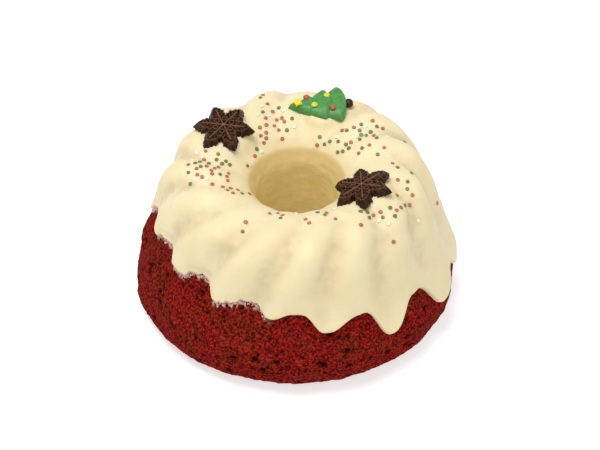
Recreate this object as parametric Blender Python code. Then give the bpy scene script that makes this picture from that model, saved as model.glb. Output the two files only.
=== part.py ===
"""Swirled ring cake: red velvet sponge baked in a fluted tin, cream icing that runs down its side and its
centre hole, two moulded chocolate snowflakes, a sugar Christmas tree and confetti sprinkles.

Metres, +Z up. The origin is the middle of the cake's underside, and -Y is its front. Angles round the cake
are in degrees, 0 at the front and growing towards the right (+X).
"""

import math
import random

import bmesh
import bpy
import numpy as np
from mathutils import Matrix, Vector
from mathutils.bvhtree import BVHTree

MM = 0.001

# Driving dimensions of the cake
CAKE_RADIUS = 90 * MM
SPONGE_HEIGHT = 87.8 * MM
ICING_THICKNESS = 2.2 * MM
ICING_THICKNESS_IN_HOLE = 1.2 * MM
PIECE_GAP = 0.3 * MM
# The foot is a little wider than it is deep and sits off to the left, between these heights
FOOT_SPREAD = 0.065
FOOT_SHIFT = -1.6 * MM
FOOT_LOW, FOOT_HIGH = 2 * MM, 26 * MM
FLUTES = 15
FLUTE_DEPTH = 4.0 * MM

# Section of the sponge, from the underside's outer edge over the crest and down the centre hole:
# (share of the cake's radius, share of the sponge's height)
SPONGE_SECTION = [
    (0.790, 0.000), (0.885, 0.026), (0.948, 0.082), (0.968, 0.154), (0.983, 0.231), (0.983, 0.321),
    (0.938, 0.436), (0.890, 0.548), (0.854, 0.661), (0.820, 0.781), (0.771, 0.885), (0.713, 0.961),
    (0.605, 1.000), (0.489, 0.984), (0.400, 0.943), (0.333, 0.890), (0.293, 0.842), (0.270, 0.774),
    (0.260, 0.590), (0.251, 0.322), (0.243, 0.068), (0.262, 0.000),
]

# The flutes run straight up the wall, then sweep round over the crest: shares of the section's length
SWEEP_START, SWEEP_END = 0.34, 0.595
RIDGE_ANGLE_ON_WALL = -2.0
SWEEP_ANGLE = 18.0
# Depth of the flutes along the section: (share of the section's length, share of FLUTE_DEPTH)
FLUTE_FADE = [(0.0, 0.0), (0.07, 0.1), (0.16, 0.27), (0.26, 0.4), (0.36, 0.73), (0.43, 1.0),
              (0.48, 0.85), (0.53, 0.5), (0.58, 0.3), (0.64, 0.1), (0.68, 0.0)]
VALLEY_SOFTNESS = 0.25

# Lower edge of the icing, highs and lows in turn: (angle, height in millimetres)
DRIP_EDGE = [
    (-88, 57), (-79, 55), (-65, 61.5), (-57, 54.5), (-41, 61), (-33, 53.5), (-19, 58.5), (-10, 50.5), (-2, 54.5),
    (12, 43.2), (23, 49), (36.5, 32), (48, 44.5), (65, 25), (75, 33), (85, 24), (98, 40), (112, 30),
    (123, 45), (136, 34), (148, 49), (160, 37), (171, 52), (183, 41), (195, 54), (208, 42), (219, 57),
    (231, 46), (244, 59), (258, 45),
]
HOLE_EDGE_HEIGHT = 16 * MM
HOLE_EDGE_WAVE = 2.5 * MM
# The icing thins on its way into the hole, between these shares of the section's length
THINNING_START, THINNING_END = 0.6, 0.72
# The icing's rounded rims: (distance from the rim, share of the full thickness)
RIM_STEPS = [(0.0, 0.35), (1.2 * MM, 0.85), (4.0 * MM, 1.0)]

# Mesh resolution of the cake
STEPS_ROUND = 90
ROWS_OF_HEEL = 4
ROWS_ABOVE_HEEL = 4
ROWS_OVER_CREST = 9
ROWS_IN_HOLE = 2
# The rows of the mesh run level round the cake up to the heel, and over the crest from shoulder to throat
HEEL_HEIGHT = 15 * MM
SHOULDER_HEIGHT = 68 * MM
THROAT_HEIGHT = 48 * MM

# Moulded snowflake: half of one arm from the valley between two arms to the tip, in millimetres
SNOWFLAKE_ARM = [(6.1, 3.5), (8.6, 4.2), (9.2, 3.5), (11.6, 4.4), (12.3, 3.5), (14.2, 3.1), (17.5, 0.0)]
SNOWFLAKE_RADIUS = 17.5 * MM
SNOWFLAKE_FACE_HEIGHT = 4.8 * MM
SNOWFLAKE_RELIEF = 0.5 * MM
SNOWFLAKE_RIB = 1.3 * MM
SNOWFLAKE_BOSS_RADIUS = 2.0 * MM
# Its outlines, lowest first: (arm length, arm width, size, height over the face), shares and millimetres
SNOWFLAKE_LEVELS = [(1.0, 1.0, 1.0, -4.8), (1.0, 1.0, 1.0, -4.0), (0.66, 0.86, 0.96, 0.0),
                    (0.62, 0.76, 0.90, 0.0), (0.60, 0.72, 0.87, -0.5)]
SNOWFLAKE_RIB_REACH = 0.62

# Sugar tree, tip towards +X, millimetres: (distance from the foot, half width), top tier last
TREE_OUTLINE = [
    (0.6, 0.0), (0.9, 6.0), (2.6, 10.6), (4.8, 11.8), (7.4, 10.8), (9.8, 8.7), (10.8, 9.6), (12.4, 10.2),
    (15.0, 8.6), (18.4, 5.6), (19.6, 6.0), (21.4, 6.4), (23.2, 5.2), (25.0, 3.6), (26.6, 3.9), (29.4, 2.4),
    (33.0, 0.0),
]
TREE_LENGTH = 33 * MM
TREE_THICKNESS = 4.4 * MM
TREE_TRUNK_RADII = (1.9 * MM, 2.7 * MM, 2.0 * MM)
# Its domed cross-section: (millimetres drawn in from the outline, share of the thickness)
TREE_LEVELS = [(0.5, 0.0), (0.0, 0.25), (0.5, 0.65), (1.5, 0.9), (2.6, 1.0)]
STAR_RADIUS = 2.9 * MM
STAR_THICKNESS = 1.3 * MM
STAR_NOTCH = 0.55
DOT_RADIUS = 1.7 * MM
DOT_HEIGHT = 1.5 * MM
# Where the star and the dots lie on the tree: (distance from the foot, sideways), millimetres
STAR_PLACE = (27.4, 0.3)
YELLOW_DOT_PLACES = [(18.4, 2.4), (11.0, -4.6)]
RED_DOT_PLACES = [(22.4, -3.9), (8.6, 5.4)]

# Where the toppers lie: (x, y) in millimetres, turn, lean, and the heading of the axis that it leans about
SNOWFLAKE_LEFT = ((-39.9, 26.4), -8.0, 8.0, -5.0)
SNOWFLAKE_RIGHT = ((35.5, -21.0), 32.0, 17.0, -111.0)
TREE = ((28.3, 48.6), 184.0, 5.0, -8.0)
SEAT_MARGIN = 4 * MM
LEAST_ICING = 0.7 * MM

# Sprinkles: (angle, its spread, radius, its spread, how many), degrees and millimetres
SPRINKLE_RADIUS = 1.25 * MM
SPRINKLE_THICKNESS = 0.9 * MM
SPRINKLE_SIDES = 8
SPRINKLE_SPACING = 3.4 * MM
MOST_TRIES = 400
SPRINKLE_PATCHES = [
    (-92, 13, 50, 9, 13), (-125, 14, 42, 7, 4), (180, 32, 42, 9, 10), (118, 12, 50, 9, 8),
    (60, 14, 58, 7, 8), (5, 26, 38, 5, 5),
]
SPRINKLE_COLOURS = ["red", "green", "red", "green", "white", "red", "green", "red", "white"]
SEED = 7

SHARP_EDGE_ANGLE = 55


def material(name, colour, roughness):
    """A plain plastic-like Principled material."""
    made = bpy.data.materials.new(name)
    made.use_nodes = True
    shader = made.node_tree.nodes["Principled BSDF"]
    shader.inputs["Base Color"].default_value = (*colour, 1.0)
    shader.inputs["Roughness"].default_value = roughness
    shader.inputs["Metallic"].default_value = 0.0
    made.diffuse_color = (*colour, 1.0)
    return made


def add_object(name, mesh, look, place=Matrix.Identity(4)):
    """Links a named object, shaded smooth except at its sharp edges."""
    mesh.materials.clear()
    mesh.materials.append(look)
    mesh.shade_smooth()
    mesh.set_sharp_from_angle(angle=math.radians(SHARP_EDGE_ANGLE))
    made = bpy.data.objects.new(name, mesh)
    made.matrix_world = place
    bpy.context.scene.collection.objects.link(made)
    return made


def mesh_of(name, points, faces):
    made = bpy.data.meshes.new(name)
    made.from_pydata([tuple(point) for point in points], [], faces)
    made.validate()
    return made


def smooth_curve(points, steps=24):
    """A Catmull-Rom curve through the points."""
    points = [np.array(point, float) for point in points]
    padded = [2 * points[0] - points[1], *points, 2 * points[-1] - points[-2]]
    curve = []
    for before, start, end, after in zip(padded, padded[1:], padded[2:], padded[3:]):
        for t in np.linspace(0, 1, steps, endpoint=False):
            bend = (2 * before - 5 * start + 4 * end - after) * t**2
            twist = (3 * start - before - 3 * end + after) * t**3
            curve.append((2 * start + (end - before) * t + bend + twist) / 2)
    curve.append(points[-1])
    return np.array(curve)


def smooth_step(low, high, value):
    share = np.clip((value - low) / (high - low), 0, 1)
    return share * share * (3 - 2 * share)


class Section:
    """The sponge's section as a curve of known length, with its outward normals."""

    def __init__(self):
        self.curve = smooth_curve(SPONGE_SECTION) * (CAKE_RADIUS, SPONGE_HEIGHT)
        steps = np.linalg.norm(np.diff(self.curve, axis=0), axis=1)
        self.along = np.concatenate([[0], np.cumsum(steps)])
        self.length = self.along[-1]
        self.share = self.along / self.length
        run = np.gradient(self.curve, axis=0)
        run /= np.linalg.norm(run, axis=1)[:, None]
        self.normal = np.stack([run[:, 1], -run[:, 0]], axis=1)
        self.crest = int(self.curve[:, 1].argmax())

    def point(self, share):
        return [np.interp(share, self.share, self.curve[:, k]) for k in (0, 1)]

    def outward(self, share):
        return [np.interp(share, self.share, self.normal[:, k]) for k in (0, 1)]

    def outer_share(self, height):
        """Where the outer wall reaches this height."""
        return np.interp(height, self.curve[: self.crest, 1], self.share[: self.crest])

    def hole_share(self, height):
        """Where the wall of the hole reaches this height."""
        inner = slice(None, self.crest, -1)
        return np.interp(height, self.curve[inner, 1], self.share[inner])


def flute_inset(angle, share):
    """How far the skin lies inside the section's curve: nothing on a ridge, the flute's depth in a valley."""
    sweep = RIDGE_ANGLE_ON_WALL + SWEEP_ANGLE * smooth_step(SWEEP_START, SWEEP_END, share)
    turn = (angle - sweep) * FLUTES / 360
    swell = math.sqrt(math.cos(math.pi * turn) ** 2 + VALLEY_SOFTNESS)
    lowest, highest = math.sqrt(VALLEY_SOFTNESS), math.sqrt(1 + VALLEY_SOFTNESS)
    fade = np.interp(share, *zip(*FLUTE_FADE))
    return FLUTE_DEPTH * fade * (highest - swell) / (highest - lowest)


def drip_height(angle):
    """Height of the icing's lower edge, level at each high and low of DRIP_EDGE."""
    knots = [*DRIP_EDGE, (DRIP_EDGE[0][0] + 360, DRIP_EDGE[0][1])]
    angle = (angle - knots[0][0]) % 360 + knots[0][0]
    for (start, first), (end, last) in zip(knots, knots[1:]):
        if angle <= end:
            return MM * (first + (last - first) * smooth_step(start, end, angle))


def hole_edge_height(angle):
    turn = math.radians(angle)
    return HOLE_EDGE_HEIGHT + HOLE_EDGE_WAVE * (0.7 * math.sin(3 * turn + 1) + 0.5 * math.sin(7 * turn))


def skin_point(section, angle, share, lift):
    """A point `lift` above the sponge's fluted skin."""
    radius, height = section.point(share)
    across, up = section.outward(share)
    lift = lift - flute_inset(angle, share)
    radius += across * lift
    turn = math.radians(angle)
    foot = 1 - smooth_step(FOOT_LOW, FOOT_HIGH, height)
    x = radius * math.sin(turn) * (1 + FOOT_SPREAD * foot) + FOOT_SHIFT * foot
    return Vector((x, -radius * math.cos(turn), height + up * lift))


def row_shares(section, angle):
    """Rows of the mesh along the section, with rows on both edges of the icing."""
    drip = section.outer_share(drip_height(angle))
    hole = section.hole_share(hole_edge_height(angle))
    shoulder = section.outer_share(SHOULDER_HEIGHT)
    throat = section.hole_share(THROAT_HEIGHT)
    rim = [step / section.length for step, _ in RIM_STEPS]
    heel_share = section.outer_share(HEEL_HEIGHT)
    heel = np.linspace(0, heel_share, ROWS_OF_HEEL, endpoint=False)
    below = np.linspace(heel_share, drip, ROWS_ABOVE_HEEL, endpoint=False)
    outer_rim = [drip + step for step in rim]
    wall = np.linspace(outer_rim[-1], shoulder, 3)[1:-1]
    crest = np.linspace(shoulder, throat, ROWS_OVER_CREST)
    inner_rim = [hole - step for step in reversed(rim)]
    inside = np.linspace(hole, 1, ROWS_IN_HOLE + 1)[1:]
    return np.concatenate([heel, below, outer_rim, wall, crest, inner_rim, inside])


def grid_faces(rows, columns, first=0, outward=True):
    """Quads between rows of points that close on themselves. Turned inward, they keep the same diagonals."""
    faces = []
    for row in range(rows - 1):
        for column in range(columns):
            following = (column + 1) % columns
            low, high = first + row * columns, first + (row + 1) * columns
            face = (low + column, low + following, high + following, high + column)
            faces.append(face if outward else (face[0], *face[:0:-1]))
    return faces


def build_cake(section, toppers):
    """The sponge ring and the icing over it, on one shared grid so that their facets keep the same gap."""
    angles = [360 * step / STEPS_ROUND for step in range(STEPS_ROUND)]
    shares = np.array([row_shares(section, angle) for angle in angles]).T
    sponge = [skin_point(section, angle, share, 0) for row in shares for angle, share in zip(angles, row)]
    rows = len(shares)
    faces = grid_faces(rows, STEPS_ROUND)
    bottom = (rows - 1) * STEPS_ROUND
    for column in range(STEPS_ROUND):
        following = (column + 1) % STEPS_ROUND
        faces.append((bottom + column, bottom + following, following, column))
    sponge_look = material("sponge", (0.19, 0.012, 0.009), 0.85)
    add_object("sponge_ring", mesh_of("sponge_ring", sponge, faces), sponge_look)

    iced = shares[ROWS_OF_HEEL + ROWS_ABOVE_HEEL : rows - ROWS_IN_HOLE]
    rim = [part for _, part in RIM_STEPS]
    parts = rim + [1.0] * (len(iced) - 2 * len(rim)) + rim[::-1]
    thins = [THINNING_START, THINNING_END]
    under, over = [], []
    for row, part in zip(iced, parts):
        for angle, share in zip(angles, row):
            full = np.interp(share, thins, [ICING_THICKNESS, ICING_THICKNESS_IN_HOLE])
            under.append(skin_point(section, angle, share, PIECE_GAP))
            over.append(skin_point(section, angle, share, PIECE_GAP + full * part))
    for topper in toppers:
        settle(topper, under, over)
    count = len(under)
    faces = grid_faces(len(iced), STEPS_ROUND, count) + grid_faces(len(iced), STEPS_ROUND, 0, False)
    last = count - STEPS_ROUND
    for column in range(STEPS_ROUND):
        following = (column + 1) % STEPS_ROUND
        faces.append((column, following, count + following, count + column))
        faces.append((last + following, last + column, count + last + column, count + last + following))
    icing_look = material("cream_icing", (0.86, 0.75, 0.50), 0.35)
    return add_object("icing_glaze", mesh_of("icing_glaze", under + over, faces), icing_look)


class Topper:
    """A decoration with a flat underside: where it lies, and the round area that it covers."""

    def __init__(self, spot, turn, lean, direction, middle, reach):
        heading = math.radians(direction)
        axis = Vector((math.cos(heading), math.sin(heading), 0))
        tilt = Matrix.Rotation(math.radians(lean), 4, axis)
        start = Matrix.Translation((spot[0] * MM, spot[1] * MM, SPONGE_HEIGHT))
        self.place = start @ tilt @ Matrix.Rotation(math.radians(turn), 4, "Z")
        self.middle = middle
        self.reach = reach

    def centre(self):
        return self.place @ Vector((self.middle, 0, 0))


def settle(topper, under, over):
    """Lowers a topper until LEAST_ICING is left beneath it, then presses the icing down clear of it."""
    normal = topper.place.col[2].to_3d()
    centre = topper.centre()
    area = topper.reach + SEAT_MARGIN
    covered = [k for k, point in enumerate(over) if (point - centre).to_2d().length < area]
    highest = -CAKE_RADIUS
    for k in covered:
        thinnest = under[k] + (over[k] - under[k]).normalized() * LEAST_ICING
        highest = max(highest, (thinnest - centre).dot(normal))
    topper.place = Matrix.Translation(normal * (highest + PIECE_GAP)) @ topper.place
    for k in covered:
        slope = (over[k] - under[k]).normalized()
        above = (over[k] - topper.centre()).dot(normal) + PIECE_GAP
        if above > 0:
            over[k] = over[k] - slope * (above / slope.dot(normal))


def stacked_outline(name, levels):
    """A closed solid from outlines of equal length, lowest first."""
    size = len(levels[0])
    faces = grid_faces(len(levels), size)
    faces.append(tuple(range(size))[::-1])
    faces.append(tuple(range((len(levels) - 1) * size, len(levels) * size)))
    return mesh_of(name, [point for level in levels for point in level], faces)


def snowflake_level(along, across, inset, height):
    """One outline of the snowflake: arms shortened beyond the valleys, narrowed, then shrunk."""
    valley = SNOWFLAKE_ARM[0][0]
    half = [(valley + (x - valley) * along, y * across) for x, y in SNOWFLAKE_ARM]
    arm = [(x, -y) for x, y in half] + [(x, y) for x, y in half[-2:0:-1]]
    points = []
    for number in range(6):
        turn = Matrix.Rotation(number * math.pi / 3, 3, "Z")
        points += [turn @ Vector((x * inset * MM, y * inset * MM, height)) for x, y in arm]
    return points


def build_snowflake_mesh():
    """A moulded snowflake with flared walls, a sunk face, six ribs and a boss, made once for both copies."""
    face = SNOWFLAKE_FACE_HEIGHT
    levels = [snowflake_level(*shape, face + over * MM) for *shape, over in SNOWFLAKE_LEVELS]
    plain = material("guide", (0.5, 0.5, 0.5), 0.5)
    plate = add_object("snowflake_plate", stacked_outline("snowflake", levels), plain)
    guides = [plate]
    rib_length = 2 * SNOWFLAKE_RIB_REACH * SNOWFLAKE_RADIUS
    rib_foot = face - 3 * SNOWFLAKE_RELIEF
    for number in range(3):
        bm = bmesh.new()
        middle = Matrix.Translation((0, 0, (rib_foot + face) / 2))
        size = Matrix.Diagonal((rib_length, SNOWFLAKE_RIB, face - rib_foot, 1))
        turn = Matrix.Rotation(number * math.pi / 3, 4, "Z")
        bmesh.ops.create_cube(bm, size=1, matrix=turn @ middle @ size)
        guides.append(guide_object(f"rib_{number}", bm, plain))
    bm = bmesh.new()
    boss_top = face + SNOWFLAKE_RELIEF
    middle = Matrix.Translation((0, 0, (rib_foot + boss_top) / 2))
    bmesh.ops.create_cone(bm, cap_ends=True, segments=18, radius1=SNOWFLAKE_BOSS_RADIUS,
                          radius2=0.8 * SNOWFLAKE_BOSS_RADIUS, depth=boss_top - rib_foot, matrix=middle)
    guides.append(guide_object("boss", bm, plain))
    for guide in guides[1:]:
        join = plate.modifiers.new(guide.name, "BOOLEAN")
        join.operation = "UNION"
        join.object = guide
    bpy.context.view_layer.update()
    graph = bpy.context.evaluated_depsgraph_get()
    made = bpy.data.meshes.new_from_object(plate.evaluated_get(graph))
    for guide in guides:
        bpy.data.objects.remove(guide)
    made.name = "snowflake"
    return made


def guide_object(name, bm, look):
    mesh = bpy.data.meshes.new(name)
    bm.to_mesh(mesh)
    bm.free()
    made = add_object(name, mesh, look)
    made.hide_render = True
    made.display_type = "WIRE"
    return made


def tree_level(shrink, height):
    """One outline of the tree, drawn in by `shrink` on every side."""
    right = [(x, -y) for x, y in TREE_OUTLINE]
    left = [(x, y) for x, y in TREE_OUTLINE[-2:0:-1]]
    middle = TREE_LENGTH / 2
    points = []
    for x, y in right + left:
        x = middle + (x * MM - middle) * (1 - 2 * shrink / TREE_LENGTH)
        widest = max(side for _, side in TREE_OUTLINE) * MM
        points.append(Vector((x, y * MM * (1 - shrink / widest), height)))
    return points


def build_tree(place):
    """The foliage, its trunk, the star and the dots, each lying clear of the foliage by the gap."""
    thick = TREE_THICKNESS
    levels = [tree_level(shrink * MM, rise * thick) for shrink, rise in TREE_LEVELS]
    green = material("sugar_green", (0.07, 0.36, 0.10), 0.45)
    yellow = material("sugar_yellow", (0.85, 0.75, 0.04), 0.4)
    brown_red = material("sugar_red", (0.45, 0.10, 0.05), 0.4)
    dark = material("trunk_chocolate", (0.05, 0.018, 0.010), 0.3)
    add_object("tree_foliage", stacked_outline("tree_foliage", levels), green, place)

    bm = bmesh.new()
    bmesh.ops.create_uvsphere(bm, u_segments=16, v_segments=8, radius=1)
    bmesh.ops.scale(bm, vec=TREE_TRUNK_RADII, verts=bm.verts)
    mesh = bpy.data.meshes.new("tree_trunk")
    bm.to_mesh(mesh)
    bm.free()
    trunk_x = TREE_OUTLINE[0][0] * MM - PIECE_GAP - TREE_TRUNK_RADII[0]
    trunk = Matrix.Translation((trunk_x, 0, TREE_TRUNK_RADII[2] + PIECE_GAP))
    add_object("tree_trunk", mesh, dark, place @ trunk)

    top = thick + PIECE_GAP
    on_tree = Matrix.Translation((STAR_PLACE[0] * MM, STAR_PLACE[1] * MM, top))
    add_object("tree_star", star_mesh(), yellow, place @ on_tree)
    for colour, look, places in (("yellow", yellow, YELLOW_DOT_PLACES), ("red", brown_red, RED_DOT_PLACES)):
        mesh = dot_mesh()
        for number, (x, y) in enumerate(places, 1):
            on_tree = Matrix.Translation((x * MM, y * MM, top))
            add_object(f"tree_dot_{colour}_{number}", mesh, look, place @ on_tree)


def star_mesh():
    """A five-pointed star with bevelled upper edges."""
    levels = []
    for shrink, height in ((1.0, 0), (1.0, 0.6 * STAR_THICKNESS), (0.8, STAR_THICKNESS)):
        level = []
        for number in range(10):
            radius = STAR_RADIUS * shrink * (1 if number % 2 == 0 else STAR_NOTCH)
            turn = math.pi * number / 5
            level.append(Vector((radius * math.cos(turn), radius * math.sin(turn), height)))
        levels.append(level)
    return stacked_outline("tree_star", levels)


def dot_mesh(sides=14, rings=4):
    """A domed dot of icing."""
    levels = []
    for ring in range(rings):
        rise = math.radians(80) * ring / (rings - 1)
        level = []
        for side in range(sides):
            turn = 2 * math.pi * side / sides
            radius = DOT_RADIUS * math.cos(rise)
            height = DOT_HEIGHT * math.sin(rise)
            level.append(Vector((radius * math.cos(turn), radius * math.sin(turn), height)))
        levels.append(level)
    return stacked_outline("tree_dot", levels)


def sprinkle_mesh(name):
    """A flat confetti disc with its upper edge taken off."""
    edge = 0.18 * SPRINKLE_THICKNESS
    levels = []
    for inset, height in ((0, 0), (0, SPRINKLE_THICKNESS - edge), (edge, SPRINKLE_THICKNESS)):
        level = []
        for side in range(SPRINKLE_SIDES):
            turn = 2 * math.pi * side / SPRINKLE_SIDES
            radius = SPRINKLE_RADIUS - inset
            level.append(Vector((radius * math.cos(turn), radius * math.sin(turn), height)))
        levels.append(level)
    return stacked_outline(name, levels)


def lie_on(tree, x, y):
    """The matrix that lays a sprinkle flat on the icing at (x, y), clear of it by the gap all round."""
    down = Vector((0, 0, -1))
    above = 0.2
    spots = [(x, y)]
    for reach in (0.5 * SPRINKLE_RADIUS, SPRINKLE_RADIUS):
        for side in range(12):
            turn = math.pi * side / 6
            spots.append((x + reach * math.cos(turn), y + reach * math.sin(turn)))
    hits = [tree.ray_cast(Vector((*spot, above)), down) for spot in spots]
    if any(hit[0] is None for hit in hits):
        return None
    normal = sum((hit[1] for hit in hits), Vector()).normalized()
    centre = hits[0][0]
    proud = max((hit[0] - centre).dot(normal) for hit in hits)
    turn = normal.to_track_quat("Z", "X").to_matrix().to_4x4()
    return Matrix.Translation(centre + normal * (proud + PIECE_GAP)) @ turn


def spot_in_patch(patch, draw):
    """A random spot (x, y) in a patch of sprinkles."""
    angle, angle_spread, radius, radius_spread, _ = patch
    turn = math.radians(angle + draw.uniform(-1, 1) * angle_spread)
    reach = (radius + draw.uniform(-1, 1) * radius_spread) * MM
    return reach * math.sin(turn), -reach * math.cos(turn)


def build_sprinkles(icing, toppers):
    """Scatters the sprinkles over their patches, clear of each other and of the toppers."""
    looks = {
        "red": material("sprinkle_red", (0.55, 0.13, 0.09), 0.5),
        "green": material("sprinkle_green", (0.11, 0.20, 0.05), 0.5),
        "white": material("sprinkle_white", (0.85, 0.82, 0.74), 0.5),
    }
    meshes = {colour: sprinkle_mesh(f"sprinkle_{colour}") for colour in looks}
    icing.data.calc_loop_triangles()
    points = [vertex.co for vertex in icing.data.vertices]
    tree = BVHTree.FromPolygons(points, [list(face.vertices) for face in icing.data.loop_triangles])
    draw = random.Random(SEED)
    taken = []
    for patch in SPRINKLE_PATCHES:
        wanted = len(taken) + patch[-1]
        for _ in range(MOST_TRIES):
            x, y = spot_in_patch(patch, draw)
            near_topper = any(math.dist((x, y), centre) < clear for centre, clear in toppers)
            near_sprinkle = any(math.dist((x, y), other) < SPRINKLE_SPACING for other in taken)
            place = None if near_topper or near_sprinkle else lie_on(tree, x, y)
            if place is None:
                continue
            taken.append((x, y))
            colour = SPRINKLE_COLOURS[len(taken) % len(SPRINKLE_COLOURS)]
            add_object(f"sprinkle_{colour}_{len(taken):02d}", meshes[colour], looks[colour], place)
            if len(taken) == wanted:
                break


def main():
    for old in list(bpy.data.objects):
        bpy.data.objects.remove(old)
    left = Topper(*SNOWFLAKE_LEFT, 0, SNOWFLAKE_RADIUS)
    right = Topper(*SNOWFLAKE_RIGHT, 0, SNOWFLAKE_RADIUS)
    tree = Topper(*TREE, 0.42 * TREE_LENGTH, 0.6 * TREE_LENGTH)
    toppers = [left, right, tree]
    icing = build_cake(Section(), toppers)
    chocolate = material("dark_chocolate", (0.08, 0.030, 0.018), 0.35)
    snowflake = build_snowflake_mesh()
    add_object("snowflake_left", snowflake, chocolate, left.place)
    add_object("snowflake_right", snowflake.copy(), chocolate, right.place)
    build_tree(tree.place)
    build_sprinkles(icing, [(topper.centre().to_2d(), topper.reach + SPRINKLE_SPACING) for topper in toppers])


main()
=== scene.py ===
"""Looks of the swirled ring cake: crumbly red sponge, cream icing with drips, chocolate snowflakes, a sugar
tree and confetti sprinkles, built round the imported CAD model. Metres, +Z up, -Y the front. Angles round the
cake are in degrees, 0 at the front and growing towards the right (+X)."""

import math

import bpy
import numpy as np
from mathutils import Matrix, Vector
from mathutils.bvhtree import BVHTree


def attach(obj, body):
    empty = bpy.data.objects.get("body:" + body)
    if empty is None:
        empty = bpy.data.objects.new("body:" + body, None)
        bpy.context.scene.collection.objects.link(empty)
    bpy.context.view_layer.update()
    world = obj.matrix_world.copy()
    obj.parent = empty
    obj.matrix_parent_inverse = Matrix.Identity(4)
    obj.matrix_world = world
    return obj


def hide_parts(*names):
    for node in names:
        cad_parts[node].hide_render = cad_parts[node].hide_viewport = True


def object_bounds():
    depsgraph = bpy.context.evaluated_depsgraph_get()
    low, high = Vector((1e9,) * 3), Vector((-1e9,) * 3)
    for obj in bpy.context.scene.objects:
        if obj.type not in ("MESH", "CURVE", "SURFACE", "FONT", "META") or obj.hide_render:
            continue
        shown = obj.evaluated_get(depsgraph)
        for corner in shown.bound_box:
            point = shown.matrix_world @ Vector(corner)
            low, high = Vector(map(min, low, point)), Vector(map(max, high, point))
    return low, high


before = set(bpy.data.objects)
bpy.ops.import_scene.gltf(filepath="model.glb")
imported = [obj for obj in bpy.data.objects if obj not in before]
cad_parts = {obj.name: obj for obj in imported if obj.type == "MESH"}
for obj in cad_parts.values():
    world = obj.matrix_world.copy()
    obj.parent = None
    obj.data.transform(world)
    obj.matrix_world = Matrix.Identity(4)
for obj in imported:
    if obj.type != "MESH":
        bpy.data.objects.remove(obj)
CAD_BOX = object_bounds()

MM = 0.001

# The cake's own dimensions, as in the CAD
CAKE_RADIUS = 90 * MM
SPONGE_HEIGHT = 87.8 * MM
# The foot is a little wider than it is deep and sits off to the left: fully below FOOT_LOW, no longer above
# FOOT_HIGH
FOOT_SPREAD = 0.065
FOOT_SHIFT = -1.6 * MM
FOOT_LOW, FOOT_HIGH = 2 * MM, 26 * MM
FLUTES = 15
FLUTE_DEPTH = 4.0 * MM
# Section of the sponge, from the underside's outer edge over the crest and down the centre hole:
# (share of the cake's radius, share of the sponge's height)
SPONGE_SECTION = [
    (0.790, 0.000), (0.885, 0.026), (0.948, 0.082), (0.968, 0.154), (0.983, 0.231), (0.983, 0.321),
    (0.938, 0.436), (0.890, 0.548), (0.854, 0.661), (0.820, 0.781), (0.771, 0.885), (0.713, 0.961),
    (0.605, 1.000), (0.489, 0.984), (0.400, 0.943), (0.333, 0.890), (0.293, 0.842), (0.270, 0.774),
    (0.260, 0.590), (0.251, 0.322), (0.243, 0.068), (0.262, 0.000),
]
# The flutes run straight up the wall, then sweep round over the crest: shares of the section's length
SWEEP_START, SWEEP_END = 0.34, 0.595
RIDGE_ANGLE_ON_WALL = -2.0
SWEEP_ANGLE = 18.0
# Depth of the flutes along the section: (share of the section's length, share of FLUTE_DEPTH)
FLUTE_FADE = [(0.0, 0.0), (0.07, 0.1), (0.16, 0.27), (0.26, 0.4), (0.36, 0.73), (0.43, 1.0),
              (0.48, 0.85), (0.53, 0.5), (0.58, 0.3), (0.64, 0.1), (0.68, 0.0)]
VALLEY_SOFTNESS = 0.25
# Lower edge of the icing, highs and lows in turn: (angle, height in millimetres)
DRIP_EDGE = [
    (-88, 57), (-79, 55), (-65, 61.5), (-57, 54.5), (-41, 61), (-33, 53.5), (-19, 58.5), (-10, 50.5),
    (-2, 54.5), (12, 43.2), (23, 49), (36.5, 32), (48, 44.5), (65, 25), (75, 33), (85, 24), (98, 40),
    (112, 30), (123, 45), (136, 34), (148, 49), (160, 37), (171, 52), (183, 41), (195, 54), (208, 42),
    (219, 57), (231, 46), (244, 59), (258, 45),
]
HOLE_EDGE_HEIGHT = 16 * MM
HOLE_EDGE_WAVE = 2.5 * MM

# Points round the visual skin, and the heights at which its rows of points change their spacing
STEPS_ROUND = 560
HEEL_HEIGHT = 15 * MM
SHOULDER_HEIGHT = 68 * MM
THROAT_HEIGHT = 48 * MM

# The bare sponge, with its heights and depths in millimetres: lumps as (size, height, seed)
SPONGE_LUMPS = [(11 * MM, 0.55, 7), (4.5 * MM, 0.35, 8), (2.0 * MM, 0.22, 9)]
# Its pits: size of the cells that hold one each, seed, ends of the floor and of the rim as shares of a cell,
# share of the cells that stay empty
SPONGE_PITS = [(3.4 * MM, 20, 0.10, 0.40, 0.60), (8 * MM, 26, 0.12, 0.34, 0.45)]
PIT_DEPTH = 1.25
GRAIN_SIZE, GRAIN_HEIGHT = 1.9 * MM, 0.45
# The crumb as a whole lies this much lower, so that its lumps stay near the sponge's line
CRUMB_DROP = 0.25
# The sponge begins to sink this far inside the icing's rims, and is down after this distance
SPONGE_OVERLAP, SINKING_WIDTH = 1.5 * MM, 3 * MM
# The icing's hidden side, and the sponge under it, lie this far below the sponge's own line
SUNK = 0.9 * MM
UNDERSIDE_HOLLOW = 0.35 * MM
# Crumbs of icing whiten the sponge below the torn edge, fading out between these distances
FROST_FROM, FROST_TO = 4.0 * MM, 6.4 * MM

ICING_THICKNESS = 2.4 * MM
ICING_THICKNESS_IN_HOLE = 1.4 * MM
# Thickness along the section: (share of the section's length, thickness)
ICING_TAPER = [(0.14, 0.8 * ICING_THICKNESS), (0.34, ICING_THICKNESS), (0.62, ICING_THICKNESS),
               (0.72, ICING_THICKNESS_IN_HOLE)]
# Width of the rounded rims: along the lower edge, how much less where torn, and in the hole
RIM, TORN_RIM_LOSS, HOLE_RIM = 2.1 * MM, 0.9 * MM, 1.2 * MM
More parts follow.
